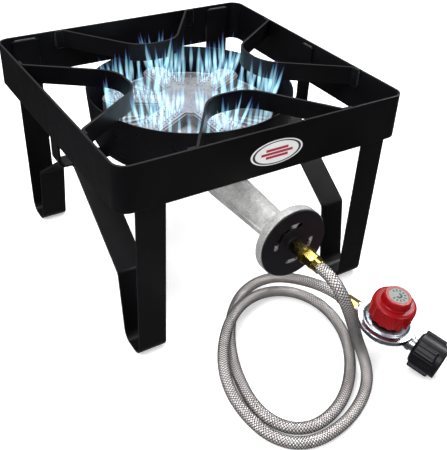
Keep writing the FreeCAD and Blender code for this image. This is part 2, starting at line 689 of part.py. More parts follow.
def regulator_body():
    bowl = stem_turned([
        (0, -25.0), (12.5, -25.0), (13.0, -24.0), (13.0, -20.5), (24.0, -18.5), (28.5, -14.0),
        (30.5, -3.6), (31.5, -2.6), (35.8, -2.6), (35.8, -0.42), (0, -0.42)])
    # ports along the gas axis, cleared for the crimp ring and the bowl
    ports = gas_cyl(9.0, -41.0, 82.0)
    for x in (36.0, -41.0):
        ports = ports.fuse(gas_cyl(10.2, x, 5.0))
    clear = stem_point(-3.7)
    ports = ports.cut(ring(60, 30.0, clear, Z_POS, 20.0).cut(ring(60, 39.6, clear, Z_POS, 20.0)))
    ports = ports.cut(stem_cyl(30.5, -3.7, 20.0))
    body = bowl.fuse(ports)
    # low-pressure chamber under the diaphragm, seat hole, inlet cavity
    body = body.cut(stem_cyl(27.0, -4.6, 10))
    body = body.cut(stem_cyl(2.6, -8, 10))
    body = body.cut(stem_cyl(6.0, -26, 19.2))
    # inlet passage and socket
    body = body.cut(gas_cyl(2.6, 5.0, 40))
    body = body.cut(gas_cyl(PORT_R, 31.0, 12))
    # outlet passage and socket, and the rise into the chamber
    body = body.cut(gas_cyl(3.0, -35.0, 15.5))
    body = body.cut(gas_cyl(PORT_R, -42.0, 10))
    body = body.cut(cyl(3.0, (-20.5, 0, 0), Z_POS, 10))
    return body.removeSplitter()


def regulator_plug():
    return stem_cyl(5.97, -25.0, 4.0).fuse(hexnut(14.0, stem_point(-28.5), Z_POS, 3.5))


def diaphragm():
    return stem_cyl(35.6, -0.4, 0.8)


def regulator_bonnet():
    bonnet = stem_turned([
        (35.8, 0.42), (35.8, 2.6), (31.5, 2.6), (30.2, 3.4), (28.5, 5.2), (24.0, 6.8),
        (17.0, 8.0), (15.5, 9.5), (15.5, 29.0), (14.5, 30.0), (3.4, 30.0), (3.4, 27.0),
        (12.1, 27.0), (12.1, 7.0), (14.0, 6.0), (23.0, 4.8), (27.0, 3.2), (28.5, 0.42)])
    # small hole through the sloping shoulder
    return bonnet.cut(cyl(1.2, (25.5, 0, REG_FLANGE_Z), Z_POS, 12))


def regulator_crimp_ring():
    crimp = stem_turned([
        (32.6, -3.5), (38.2, -3.5), (39.0, -2.7), (39.0, 2.7), (38.2, 3.5), (32.6, 3.5),
        (32.6, 2.65), (35.85, 2.65), (35.85, -2.65), (32.6, -2.65)])
    return crimp.cut(gas_cyl(7.1, -42, 84))         # notches over the two ports


def diaphragm_plate():
    return stem_turned([(0, 0.42), (17.5, 0.42), (17.5, 1.8), (5.5, 1.8), (5.0, 3.2), (0, 3.2)])


def range_spring():
    return spring(8.3, 1.15, REG_FLANGE_Z + 1.85, REG_FLANGE_Z + 17.95, 4.5)


def spring_button():
    return ring(11.95, SCREW_R + 0.06, stem_point(18.0), Z_POS, 4.0)


def adjusting_screw():
    return stem_cyl(SCREW_R, 6.0, 34.5).fuse(stem_cyl(6.5, 25.3, 1.65))


def knob():
    # fluted skirt, raised cap, recessed top
    shell = stem_turned([
        (0, 31.0), (0, 48.0), (13.0, 48.0), (13.0, 48.6), (16.6, 48.6), (17.8, 47.6),
        (18.4, 38.6), (19.4, 37.6), (25.6, 37.0), (27.8, 35.4), (28.5, 33.0), (28.5, 13.6),
        (27.8, 13.0), (23.6, 13.0), (23.6, 33.0), (8.0, 33.0), (8.0, 31.0)])
    flutes = []
    for k in range(FLUTES):
        angle = 2 * math.pi * k / FLUTES
        flutes.append(up_cyl(10.0, REG_FLANGE_Z + 12.0, 23.4,
                             36.2 * math.cos(angle), 36.2 * math.sin(angle)))
    shell = shell.cut(Part.makeCompound(flutes))
    return shell.cut(stem_cyl(SCREW_R + 0.02, 30.0, 10.6))


def knob_label():
    return stem_cyl(12.6, 48.02, 0.45)


def valve_poppet():
    # pin under the diaphragm, poppet below the seat, guide for its spring
    pin = stem_cyl(1.8, -9.0, 8.55)
    poppet = stem_turned([(0, -10.5), (4.6, -10.5), (4.6, -7.6), (2.8, -6.9), (0, -6.9)])
    return pin.fuse(poppet).fuse(stem_cyl(1.6, -13.0, 4.0))


def poppet_spring():
    return spring(3.4, 0.45, REG_FLANGE_Z - 20.9, REG_FLANGE_Z - 10.55, 5.0)


def hose_end_fitting():
    fitting = gas_cyl(FITTING_R, -41.5, 9.3)
    fitting = fitting.fuse(hexnut(17.5, (-41.1, 0, 0), X_NEG, 18.4, 18))
    fitting = fitting.fuse(cyl(STEM_R, (HOSE_END_X + 1.0, 0, 0), X_NEG, 14.0))
    return fitting.cut(gas_cyl(STEM_BORE_R, -80, 60))


# ------------------------------------------------------------ inlet and nut
def inlet_nipple():
    nipple = revolve_x([
        (31.2, 0), (31.2, FITTING_R), (41.2, FITTING_R), (41.2, 8.6), (44.0, 8.6), (44.6, 8.5),
        (49.9, 8.5), (49.9, 11.0), (52.6, 11.0), (53.0, 8.6), (69.6, 8.6), (69.6, 6.6),
        (72.6, 6.6), (72.6, 8.4), (76.4, 6.4), (78.2, 4.2), (78.2, 0)])
    # bore radius, start x, length
    for radius, x, length in ((3.5, 56.0, 20.0), (2.5, 30, 30), (2.05, 70, 12)):
        nipple = nipple.cut(gas_cyl(radius, x, length))
    return nipple


def inlet_seal():
    return ring(8.9, 6.62, (69.65, 0, 0), X_POS, 2.9)


def excess_flow_plunger():
    return gas_cyl(3.42, 66.0, 2.6).fuse(gas_cyl(1.98, 68.0, 13.2))


def plunger_spring():
    coil = spring(2.7, 0.4, 0, 9.9, 6.0)
    coil.rotate(V(0, 0, 0), V(*Y_POS), 90)
    coil.translate(V(56.05, 0, 0))
    return coil


def coupling_nut():
    nut = revolve_x([
        (45.9, 8.58), (45.9, 15.5), (46.6, 18.5), (49.6, 22.2), (83.4, 22.5), (84.0, 21.9),
        (84.0, 17.6), (83.0, 16.6), (53.2, 16.6), (49.85, 16.6), (49.85, 8.58)])
    # four grip pads with rounded top edges and two fine grooves each
    pad_w, pad_h, pad_z = 16.0, 6.0, 20.0
    pad_top = pad_z + pad_h
    pads = []
    for k in range(4):
        pad = Part.makeBox(27.5, pad_w, pad_h, V(49.4, -pad_w / 2.0, pad_z))
        pad = pad.makeFillet(
            2.2, [edge for edge in pad.Edges if abs(edge.CenterOfMass.z - pad_top) < 0.01])
        for y in (-3.1, 3.1):
            pad = pad.cut(cyl(0.9, (48.0, y, pad_top + 0.1), X_POS, 31.0))
        pad.rotate(V(0, 0, 0), V(*X_POS), 45.0 + 90.0 * k)
        pads.append(pad)
    nut = nut.fuse(pads)
    # grooves in pairs between the pads
    groove_r = 23.2
    grooves = []
    for k in range(4):
        for offset in (-22.0, 22.0):
            angle = math.radians(90.0 * k + offset)
            start = (49.0, groove_r * math.sin(angle), groove_r * math.cos(angle))
            grooves.append(cyl(1.6, start, X_POS, 28.5))
    return nut.cut(Part.makeCompound(grooves))


# --------------------------------------------------------------------- badge
def badge():
    # oval plate on the front face of the band
    centre = V(BADGE_X, -BAND_W / 2.0, BADGE_Z)
    edge = Part.Ellipse(centre, BADGE_A, BADGE_B).toShape()
    edge.rotate(centre, V(*X_POS), 90)
    return Part.Face(Part.Wire([edge])).extrude(V(0, -BADGE_T, 0))


# -------------------------------------------------------------------- export
os.makedirs("parts", exist_ok=True)

support = front_pot_support()
for side_name, turn_angle in (("front", 0), ("right", 90), ("rear", 180), ("left", 270)):
    turned = support.copy()
    turned.rotate(V(0, 0, 0), V(*Z_POS), turn_angle)
    save("pot_support_" + side_name, turned)

leg = rear_right_leg()
for corner_name, mirrors in (("rear_right", ()), ("front_right", (Y_POS,)),
                             ("rear_left", (X_POS,)), ("front_left", (X_POS, Y_POS))):
    mirrored = leg.copy()
    for normal in mirrors:
        mirrored = mirrored.mirror(V(0, 0, 0), V(*normal))
    save("leg_" + corner_name, mirrored)

# Each function is named after the file it fills.
for build in (top_band, burner_bracket, wind_shield, burner_head, mixer_tube, mixer_screws,
              burner_bolt, burner_washer, air_shutter, shutter_locknut, orifice_fitting,
              flare_nut, hose_stem_burner, hose_ferrule_burner, hose_braid, hose_liner, badge):
    save(build.__name__, build())

for build in (hose_ferrule_regulator, regulator_body, regulator_plug, diaphragm,
              regulator_bonnet, regulator_crimp_ring, diaphragm_plate, range_spring,
              spring_button, adjusting_screw, knob, knob_label, valve_poppet, poppet_spring,
              hose_end_fitting, inlet_nipple, inlet_seal, excess_flow_plunger,
              plunger_spring, coupling_nut):
    save(build.__name__, place(build()))
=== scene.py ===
# Lit gas burner on a four-legged stand, with a coiled braided hose and a regulator.
# The frame pieces come from CAD; this script adds the hose, weld beads, casting seams,
# flames and all materials. The stand is upright on the floor (z = 0) around the z axis:
# front is -Y, left is -X. Sizes are millimetres turned into metres with MM, except in
# materials, lights, floor and camera, which use metres throughout.
import json
import math
import random

import bmesh
import bpy
from mathutils import Matrix, Vector


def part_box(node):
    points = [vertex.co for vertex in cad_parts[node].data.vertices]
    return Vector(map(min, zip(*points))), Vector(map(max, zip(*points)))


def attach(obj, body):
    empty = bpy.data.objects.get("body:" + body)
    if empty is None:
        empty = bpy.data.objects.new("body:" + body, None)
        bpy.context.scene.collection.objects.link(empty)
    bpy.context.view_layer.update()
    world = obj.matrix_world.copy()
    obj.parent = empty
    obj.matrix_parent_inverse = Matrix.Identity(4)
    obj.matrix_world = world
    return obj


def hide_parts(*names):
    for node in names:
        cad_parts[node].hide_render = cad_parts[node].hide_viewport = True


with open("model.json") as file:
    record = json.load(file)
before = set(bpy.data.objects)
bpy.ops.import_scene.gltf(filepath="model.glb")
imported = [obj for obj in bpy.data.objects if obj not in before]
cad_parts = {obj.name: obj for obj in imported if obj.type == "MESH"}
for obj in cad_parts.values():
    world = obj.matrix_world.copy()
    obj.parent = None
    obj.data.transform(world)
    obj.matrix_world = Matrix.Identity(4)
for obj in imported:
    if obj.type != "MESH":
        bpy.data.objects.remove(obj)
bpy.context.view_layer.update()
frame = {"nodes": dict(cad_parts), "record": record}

scene = bpy.context.scene
rng = random.Random(7)
MM = 0.001

MIXER_Z = 158.0               # height of the horizontal mixer tube's axis

# Regulator: centre (metres) and its own axes, x along the hose outlet line, z its tilted top
REG_CENTRE = Vector((101.84, -334.94, 40.5)) * MM
REG_TURN, REG_TILT = math.radians(-69.0), math.radians(10.0)
REG_X = Vector((math.cos(REG_TURN) * math.cos(REG_TILT),
                math.sin(REG_TURN) * math.cos(REG_TILT), -math.sin(REG_TILT)))
REG_Z = Vector((math.cos(REG_TURN) * math.sin(REG_TILT),
                math.sin(REG_TURN) * math.sin(REG_TILT), math.cos(REG_TILT)))
REG_Y = REG_Z.cross(REG_X)


# ------------------------------------------------------------ node helpers
class Graph:
    """An emptied node tree with short ways to add and join nodes."""

    def __init__(self, tree):
        self.tree = tree
        tree.nodes.clear()

    def feed(self, socket, value):
        """Link a socket, or set a plain value; colours may be given as RGB."""
        if isinstance(value, bpy.types.NodeSocket):
            self.tree.links.new(value, socket)
        elif socket.type == "RGBA":
            socket.default_value = (*value, 1.0)
        else:
            socket.default_value = value

    def add(self, kind, inputs=None, **settings):
        node = self.tree.nodes.new("ShaderNode" + kind)
        for key, value in settings.items():
            setattr(node, key, value)
        for key, value in (inputs or {}).items():
            self.feed(node.inputs[key], value)
        return node

    def ramp(self, fac, stops):
        """Colour ramp; each stop is (position, RGB)."""
        node = self.add("ValToRGB", {0: fac})
        elements = node.color_ramp.elements
        while len(elements) < len(stops):
            elements.new(0.5)
        for element, (position, color) in zip(elements, stops):
            element.position = position
            element.color = (*color, 1.0)
        return node.outputs[0]

    def remap(self, value, span, to=(0.0, 1.0)):
        """Map the range span onto the range to, clamped."""
        return self.add("MapRange", dict(enumerate((value, *span, *to)))).outputs[0]

    def math(self, operation, *values, clamp=False):
        node = self.add("Math", dict(enumerate(values)), operation=operation, use_clamp=clamp)
        return node.outputs[0]

    def mul(self, first, second):
        return self.math("MULTIPLY", first, second)

    def hypot(self, x, y):
        return self.math("SQRT", self.math("ADD", self.mul(x, x), self.mul(y, y)))

    def window(self, value, rise, fall):
        """1 between the two ranges, fading in over rise and out over fall."""
        return self.mul(self.remap(value, span=rise), self.remap(value, span=fall, to=(1.0, 0.0)))

    def mix(self, fac, color_a, color_b):
        inputs = {0: fac, 6: color_a, 7: color_b}
        return self.add("Mix", inputs, data_type="RGBA").outputs[2]

    def dot(self, first, second):
        node = self.add("VectorMath", {0: first, 1: second}, operation="DOT_PRODUCT")
        return node.outputs["Value"]

    def split(self, vector):
        return self.add("SeparateXYZ", {0: vector}).outputs

    def facing(self):
        return self.add("LayerWeight", {"Blend": 0.5}).outputs["Facing"]


def new_material_tree(name):
    material = bpy.data.materials.new(name)
    material.use_nodes = True
    return material, material.node_tree


class Surface(Graph):
    """A material with one Principled shader, textured in object coordinates."""

    SOCKETS = {"color": "Base Color", "metallic": "Metallic", "roughness": "Roughness",
               "coat": "Coat Weight", "coat_roughness": "Coat Roughness",
               "specular": "Specular IOR Level", "anisotropic": "Anisotropic"}

    def __init__(self, name):
        self.material, tree = new_material_tree(name)
        super().__init__(tree)
        self.output = self.add("OutputMaterial")
        self.shader = self.add("BsdfPrincipled")
        self.feed(self.output.inputs[0], self.shader.outputs[0])
        self.place = self.add("TexCoord").outputs["Object"]
        self.normal = None

    def set(self, **values):
        for key, value in values.items():
            self.feed(self.shader.inputs[self.SOCKETS[key]], value)

    def noise(self, scale, detail=3.0, rough=0.55, vector=None, distortion=0.0):
        node = self.add("TexNoise", {"Scale": scale, "Detail": detail, "Roughness": rough,
                                     "Distortion": distortion,
                                     "Vector": self.place if vector is None else vector})
        return node.outputs["Fac"]

    def bump(self, height, distance, strength):
        """Lay a bump (distance in metres) over the bumps added before it."""
        node = self.add("Bump", {"Strength": strength, "Distance": distance, "Height": height})
        if self.normal is not None:
            self.feed(node.inputs["Normal"], self.normal)
        self.normal = node.outputs[0]
        self.feed(self.shader.inputs["Normal"], self.normal)

    def edge(self, radius):
        """1 along sharp edges, 0 on open faces."""
        rounded = self.add("Bevel", {0: radius}, samples=4).outputs[0]
        aligned = self.dot(rounded, self.add("NewGeometry").outputs["Normal"])
        return self.remap(self.math("SUBTRACT", 1.0, aligned), span=(0.02, 0.25))


def tone(color, gain, offset=0.0):
    return tuple(min(1.0, channel * gain + offset) for channel in color)


# --------------------------------------------------------------- materials
def paint(name, base, lift, rough, wear=0.5, orange_peel=0.12):
    """Dark paint clouded from base to lift, with pale specks and worn edges."""
    mat = Surface(name)
    cloud = mat.noise(scale=9.0)
    fine = mat.noise(scale=900.0, detail=2.0)
    mid = mat.noise(scale=60.0, detail=4.0, rough=0.6)
    color = mat.mix(mat.remap(cloud, span=(0.35, 0.65)), base, lift)
    specks = mat.remap(mat.noise(scale=1400.0, detail=1.0), span=(0.70, 0.80), to=(0.0, 0.25))
    color = mat.mix(specks, color, tone(lift, gain=2.0, offset=0.004))
    edge = mat.edge(radius=0.0009)
    patchy = mat.remap(mat.noise(scale=260.0, detail=4.0, rough=0.7), span=(0.42, 0.62))
    bare = (0.10, 0.098, 0.095)
    color = mat.mix(mat.mul(mat.mul(edge, patchy), wear), color, bare)
    mat.set(color=color, specular=0.22, coat=0.04, coat_roughness=0.35,
            roughness=mat.remap(mid, span=(0.3, 0.7), to=(rough - 0.05, rough + 0.07)))
    mat.bump(fine, distance=0.00012, strength=orange_peel)
    mat.bump(mid, distance=0.0004, strength=0.06)
    return mat.material


def casting(name, base, dark, rough, metallic):
    """Grainy cast metal with scattered pits."""
    mat = Surface(name)
    grain = mat.noise(scale=420.0, rough=0.6)
    cloud = mat.noise(scale=30.0, detail=5.0, rough=0.62)
    mottle = mat.noise(scale=190.0, detail=4.0, rough=0.65)
    cells = mat.add("TexVoronoi", {"Scale": 300.0, "Vector": mat.place}).outputs["Distance"]
    pits = mat.remap(cells, span=(0.0, 0.20), to=(1.0, 0.0))
    pitted = mat.remap(mat.noise(scale=60.0, detail=2.0), span=(0.50, 0.62))
    pit = mat.mul(pits, pitted)
    color = mat.mix(mat.remap(cloud, span=(0.36, 0.66)), dark, base)
    dark_grain = mat.remap(grain, span=(0.50, 0.66), to=(0.0, 0.5))
    color = mat.mix(dark_grain, color, tone(dark, gain=0.45))
    pale_mottle = mat.remap(mottle, span=(0.57, 0.72), to=(0.0, 0.55))
    color = mat.mix(pale_mottle, color, tone(base, gain=1.35))
    color = mat.mix(mat.mul(pit, 0.7), color, tone(dark, gain=0.25))
    mat.set(color=color, metallic=metallic, specular=0.4,
            roughness=mat.remap(mottle, span=(0.3, 0.7), to=(rough - 0.05, rough + 0.09)))
    mat.bump(grain, distance=0.0006, strength=0.55)
    mat.bump(mat.math("SUBTRACT", 1.0, pit), distance=0.0006, strength=0.5)
    mat.bump(mottle, distance=0.0009, strength=0.35)
    return mat.material


def plated(name, base, rough):
    """Plated metal, clouded from a darker tone to a bluish one, with a painted highlight
    brightening its edges.
    """
    mat = Surface(name)
    cloud = mat.noise(scale=55.0, detail=4.0, rough=0.6, distortion=0.5)
    fine = mat.noise(scale=1500.0, detail=2.0)
    blue_tint = (0.9, 0.93, 1.0)
    bluish = tuple(channel * tint for channel, tint in zip(base, blue_tint))
    color = mat.mix(mat.remap(cloud, span=(0.3, 0.7)), tone(base, gain=0.80), bluish)
    # Painted highlight: the edges are brightened towards near-white as if catching the light
    bright = (0.92, 0.92, 0.93)
    color = mat.mix(mat.mul(mat.edge(radius=0.0006), 0.35), color, bright)
    mat.set(color=color, metallic=1.0, anisotropic=0.3,
            roughness=mat.remap(cloud, span=(0.3, 0.7), to=(rough - 0.05, rough + 0.08)))
    mat.bump(fine, distance=0.00008, strength=0.15)
    mat.bump(cloud, distance=0.0003, strength=0.06)
    return mat.material


def brass(name, bright, dark, rough, dirt):
    """Tarnished brass with rubbed edges, dirt patches and fine machining streaks."""
    mat = Surface(name)
    tarnish = mat.noise(scale=110.0, detail=5.0, rough=0.65)
    fine = mat.noise(scale=1300.0, detail=2.0)
    stretched = mat.add("Mapping", {"Scale": (300, 2600, 300), "Vector": mat.place}).outputs[0]
    streaks = mat.noise(scale=1.0, rough=0.6, vector=stretched)
    color = mat.mix(mat.remap(tarnish, span=(0.32, 0.68)), dark, bright)
    rubbed = mat.mul(mat.edge(radius=0.0006), 0.55)
    color = mat.mix(rubbed, color, tone(bright, gain=1.35))
    dirty = mat.mul(mat.remap(tarnish, span=(0.25, 0.42), to=(1.0, 0.0)), dirt)
    color = mat.mix(dirty, color, tone(dark, gain=0.35))
    mat.set(color=color, metallic=1.0,
            roughness=mat.remap(tarnish, span=(0.3, 0.7), to=(rough + 0.08, rough - 0.04)))
    mat.bump(fine, distance=0.00008, strength=0.18)
    mat.bump(streaks, distance=0.0001, strength=0.12)
    return mat.material


def plastic(name, base, lift, rough, coat=0.0, grain=0.2, grain_scale=1100.0, specular=0.5):
    """Plastic or rubber, with a painted highlight lightening its edges."""
    mat = Surface(name)
    fine = mat.noise(scale=grain_scale, detail=2.0)
    cloud = mat.noise(scale=40.0, detail=4.0)
    color = mat.mix(mat.remap(cloud, span=(0.35, 0.65)), base, lift)
    # Painted highlight: the edges are lightened as if catching the light
    edge = mat.mul(mat.edge(radius=0.0010), 0.22)
    color = mat.mix(edge, color, tone(lift, gain=1.6, offset=0.03))
    mat.set(color=color, coat=coat, coat_roughness=0.08, specular=specular,
            roughness=mat.remap(cloud, span=(0.3, 0.7), to=(rough - 0.04, rough + 0.06)))
    mat.bump(fine, distance=0.0001, strength=grain)
    mat.bump(cloud, distance=0.0004, strength=0.05)
    return mat.material


def braid_material():
    """Two sets of crossing steel ribbons; u and v are their helix phases."""
    mat = Surface("steel_braid")
    phase_u, phase_v = mat.split(mat.add("UVMap").outputs[0])[:2]

    def sine(phase, wires=1.0):
        return mat.math("SINE", mat.mul(phase, math.pi * wires))

    sine_u, sine_v = sine(phase_u), sine(phase_v)
    u_on_top = mat.remap(mat.mul(sine_u, sine_v), span=(-0.02, 0.02))
    # Each ribbon is five wires wide
    wires_u = mat.math("ABSOLUTE", sine(phase_u, wires=5.0))
    wires_v = mat.math("ABSOLUTE", sine(phase_v, wires=5.0))
    ribbon_u = mat.math("ABSOLUTE", sine_u)
    ribbon_v = mat.math("ABSOLUTE", sine_v)

    def pick(if_u, if_v):
        inputs = {0: u_on_top, 2: if_v, 3: if_u}
        return mat.add("Mix", inputs, data_type="FLOAT").outputs[0]

    wire = pick(wires_u, wires_v)
    own = pick(ribbon_u, ribbon_v)        # 0 at the ribbon's own edge
    other = pick(ribbon_v, ribbon_u)      # 0 where the ribbon dives under
    cover = mat.mul(mat.remap(own, span=(0.22, 0.60)),
                    mat.remap(other, span=(0.05, 0.80), to=(0.12, 1.0)))
    cloud = mat.remap(mat.noise(scale=40.0), span=(0.3, 0.7))
    steel = mat.mix(cloud, (0.86, 0.82, 0.82), (0.98, 0.95, 0.95))
    warm = mat.remap(mat.noise(scale=120.0, detail=2.0), span=(0.45, 0.65), to=(0.0, 0.6))
    steel = mat.mix(warm, steel, (0.72, 0.64, 0.58))
    # Painted shade: the grooves between wires, and the crevices where ribbons meet or dive under,
    # are darkened towards near-black
    wire_groove_shade, crevice_shade = (0.13, 0.11, 0.115), (0.014, 0.010, 0.011)
    color = mat.mix(mat.remap(wire, span=(0.0, 0.6), to=(0.25, 1.0)), wire_groove_shade, steel)
    color = mat.mix(cover, crevice_shade, color)
    # Painted shade: the flanks of the hose are darkened towards grazing angles, so they read
    # darker than its crown
    flank_shade = mat.remap(mat.facing(), span=(0.32, 0.84), to=(0.0, 0.90))
    color = mat.mix(flank_shade, color, (0.045, 0.036, 0.040))
    mat.set(color=color, metallic=0.62, specular=0.9,
            roughness=mat.remap(wire, span=(0.0, 1.0), to=(0.30, 0.15)))
    mat.bump(wire, distance=0.00018, strength=0.7)
    mat.bump(cover, distance=0.0003, strength=0.5)
    return mat.material


def badge_material():
    """Oval plate in the XZ plane: white field, dark keyline, three red bars."""
    mat = Surface("badge_enamel")
    low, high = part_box("badge")
    place = mat.split(mat.place)

    def normalised(coordinate, start, end):
        offset = mat.math("SUBTRACT", coordinate, (start + end) / 2)
        return mat.math("DIVIDE", offset, (end - start) / 2)

    x = normalised(place[0], low.x, high.x)
    z = normalised(place[2], low.z, high.z)
    keyline = mat.window(mat.hypot(x, z), rise=(0.835, 0.85), fall=(0.925, 0.94))

    def bar(bottom, top, half_width):
        rows = mat.window(z, rise=(bottom - 0.02, bottom), fall=(top, top + 0.02))
        side = mat.math("ABSOLUTE", x)
        span = (half_width, half_width + 0.01)
        return mat.mul(rows, mat.remap(side, span=span, to=(1.0, 0.0)))

    upper = bar(bottom=0.17, top=0.36, half_width=0.42)
    middle = bar(bottom=-0.12, top=0.07, half_width=0.60)
    lower = bar(bottom=-0.41, top=-0.22, half_width=0.42)
    bars = mat.math("ADD", mat.math("ADD", upper, middle), lower, clamp=True)
    fine = mat.noise(scale=500.0, detail=2.0)
    white_low, white_high = (0.80, 0.80, 0.79), (0.86, 0.86, 0.86)
    red, black = (0.40, 0.008, 0.035), (0.02, 0.02, 0.03)
    color = mat.mix(mat.remap(fine, span=(0.3, 0.7)), white_low, white_high)
    color = mat.mix(bars, color, red)
    color = mat.mix(keyline, color, black)
    mat.set(color=color, roughness=0.28, coat=0.5, coat_roughness=0.05)
    mat.bump(fine, distance=0.00005, strength=0.1)
    return mat.material


def label_material():
    """Grey disc on the regulator with a ring of dial ticks around a broad arc."""
    mat = Surface("knob_label_print")
    offset = mat.add("VectorMath", {0: mat.place, 1: tuple(REG_CENTRE)},
                     operation="SUBTRACT").outputs[0]
    x, y = mat.dot(offset, tuple(REG_X)), mat.dot(offset, tuple(REG_Y))
    radius = mat.hypot(x, y)
    angle = mat.math("ARCTAN2", y, x)
    # |sin 6a| peaks twelve times a turn
    spokes = mat.math("ABSOLUTE", mat.math("SINE", mat.mul(angle, 6.0)))
    ticks = mat.mul(mat.remap(spokes, span=(0.80, 0.84)),
                    mat.window(radius, rise=(0.0066, 0.0068), fall=(0.0104, 0.0106)))
    ticks = mat.mul(ticks, mat.remap(angle, span=(-2.3, -2.25)))
    arc = mat.mul(mat.window(radius, rise=(0.0022, 0.0023), fall=(0.0048, 0.0049)),
                  mat.window(angle, rise=(-1.9, -1.85), fall=(1.9, 1.95)))
    ink = mat.math("ADD", ticks, arc, clamp=True)
    fine = mat.noise(scale=900.0, detail=2.0)
    grey_low, grey_high = (0.24, 0.26, 0.25), (0.32, 0.34, 0.32)
    color = mat.mix(mat.remap(fine, span=(0.3, 0.7)), grey_low, grey_high)
    color = mat.mix(ink, color, (0.05, 0.055, 0.06))
    mat.set(color=color, roughness=0.6, specular=0.15)
    mat.bump(fine, distance=0.00005, strength=0.15)
    return mat.material


# Keyed by the frame's material slot; burner_casting is for the burner head only
MATERIALS = {
    "frame_paint": paint("frame_paint_satin", base=(0.0026, 0.0022, 0.0029),
                         lift=(0.0046, 0.0040, 0.0050), rough=0.33),
    "shield_enamel": paint("shield_enamel", base=(0.0030, 0.0030, 0.0040),
                           lift=(0.0060, 0.0058, 0.0072), rough=0.30,
                           wear=0.25, orange_peel=0.08),
    "shutter_paint": paint("shutter_paint", base=(0.0050, 0.0045, 0.0072),
                           lift=(0.0085, 0.0078, 0.0115), rough=0.38,
                           wear=0.4, orange_peel=0.10),
    "cast_aluminium": casting("cast_aluminium", base=(0.68, 0.68, 0.67),
                              dark=(0.42, 0.42, 0.415), rough=0.50, metallic=0.45),
    "zinc_casting": plated("zinc_plate", base=(0.50, 0.53, 0.57), rough=0.27),
    "zinc_steel": plated("zinc_steel", base=(0.50, 0.51, 0.54), rough=0.30),
    "nipple_metal": plated("nipple_metal", base=(0.68, 0.68, 0.70), rough=0.24),
    "aged_brass": brass("aged_brass", bright=(0.34, 0.27, 0.10),
                        dark=(0.055, 0.043, 0.018), rough=0.22, dirt=0.7),
    "bright_brass": brass("bright_brass", bright=(0.80, 0.66, 0.20),
                          dark=(0.52, 0.40, 0.07), rough=0.15, dirt=0.45),
    "black_rubber": plastic("black_rubber", base=(0.012, 0.012, 0.012),
                            lift=(0.02, 0.02, 0.02), rough=0.62, grain=0.35),
    "red_plastic": plastic("red_plastic", base=(0.23, 0.001, 0.003),
                           lift=(0.30, 0.002, 0.005), rough=0.30, coat=0.04,
                           grain=0.06, grain_scale=700.0, specular=0.18),
    "black_plastic": plastic("black_plastic", base=(0.003, 0.003, 0.005),
                             lift=(0.006, 0.006, 0.009), rough=0.40, coat=0.02,
                             grain=0.16, specular=0.24),
    "burner_casting": casting("burner_casting", base=(0.40, 0.40, 0.41),
                              dark=(0.24, 0.24, 0.245), rough=0.46, metallic=0.6),
    "steel_braid": braid_material(),
    "badge_enamel": badge_material(),
    "label_grey": label_material(),
}

# ---------------------------------------------- CAD pieces: looks and soft edges
# Edge bevel width by material slot; slots not listed stay sharp
EDGE_WIDTHS = {
    "frame_paint": 0.55, "shield_enamel": 0.3, "shutter_paint": 0.4, "zinc_casting": 0.25,
    "bright_brass": 0.3, "aged_brass": 0.3, "red_plastic": 0.5, "black_plastic": 0.5,
    "cast_aluminium": 0.35, "badge_enamel": 0.15, "nipple_metal": 0.2,
}
BURNER_EDGE_WIDTH = 0.3


def soften_edges(ob, width):
    weld = ob.modifiers.new("weld", "WELD")
    weld.merge_threshold = 0.000004
    bevel = ob.modifiers.new("edge", "BEVEL")
    bevel.width = width * MM
    bevel.segments = 2
    bevel.limit_method = "ANGLE"
    bevel.angle_limit = math.radians(38)
    bevel.use_clamp_overlap = True
    normals = ob.modifiers.new("wn", "WEIGHTED_NORMAL")
    normals.keep_sharp = False


def dress_frame():
    slots = {part["node"]: part["material_slot"] for part in frame["record"]["subparts"]}
    for name, ob in frame["nodes"].items():
        slot, width = slots[name], EDGE_WIDTHS.get(slots[name])
        if name == "burner_head":
            slot, width = "burner_casting", BURNER_EDGE_WIDTH
        ob.data.materials.clear()
        ob.data.materials.append(MATERIALS[slot])
        if width:
            soften_edges(ob, width)


dress_frame()


# ------------------------------------------------------------ mesh helpers
def tube_faces(rings, sides, base=0):
    """Quads joining rings of points, the first ring starting at index base."""
    faces = []
    for i in range(rings - 1):
        near, far = base + i * sides, base + (i + 1) * sides
        for j in range(sides):
            k = (j + 1) % sides
            faces.append((near + j, near + k, far + k, far + j))
    return faces


def tube_uvs(rings, sides, uv_at):
    """Corner UVs for tube_faces; uv_at takes a ring and a side."""
    return [uv_at(ring, side) for i in range(rings - 1) for j in range(sides)
            for ring, side in ((i, j), (i, j + 1), (i + 1, j + 1), (i + 1, j))]


def make_object(name, points, faces, uvs=None, close=False, smooth=True):
    """Link a new mesh object; close fills its holes and turns its faces outward."""
    mesh = bpy.data.meshes.new(name)
    mesh.from_pydata(points, [], faces)
    if uvs:
        layer = mesh.uv_layers.new(name="UVMap")
        layer.data.foreach_set("uv", [value for uv in uvs for value in uv])
    if close:
        bm = bmesh.new()
        bm.from_mesh(mesh)
        rims = [edge for edge in bm.edges if edge.is_boundary]
        bmesh.ops.holes_fill(bm, edges=rims, sides=0)
        bmesh.ops.recalc_face_normals(bm, faces=bm.faces)
        bm.to_mesh(mesh)
        bm.free()
    if smooth:
        for polygon in mesh.polygons:
            polygon.use_smooth = True
    ob = bpy.data.objects.new(name, mesh)
    scene.collection.objects.link(ob)
    return ob


# ------------------------------------------------------------ braided hose
HOSE_RADIUS = 7.5
HOSE_BORE = 6.3               # radius
WEAVE_DEPTH = 0.6
HOSE_STEP = 0.75
HOSE_SIDES = 80
CARRIERS = 9                  # ribbons in each direction
LAY = 31.0                    # length of one helix turn
HOSE_START_Y = -302.65        # on the mixer axis
HOSE_END_X = -60.0            # along the regulator's own x
HOSE_STRAIGHT = 16.0          # straight run at each end

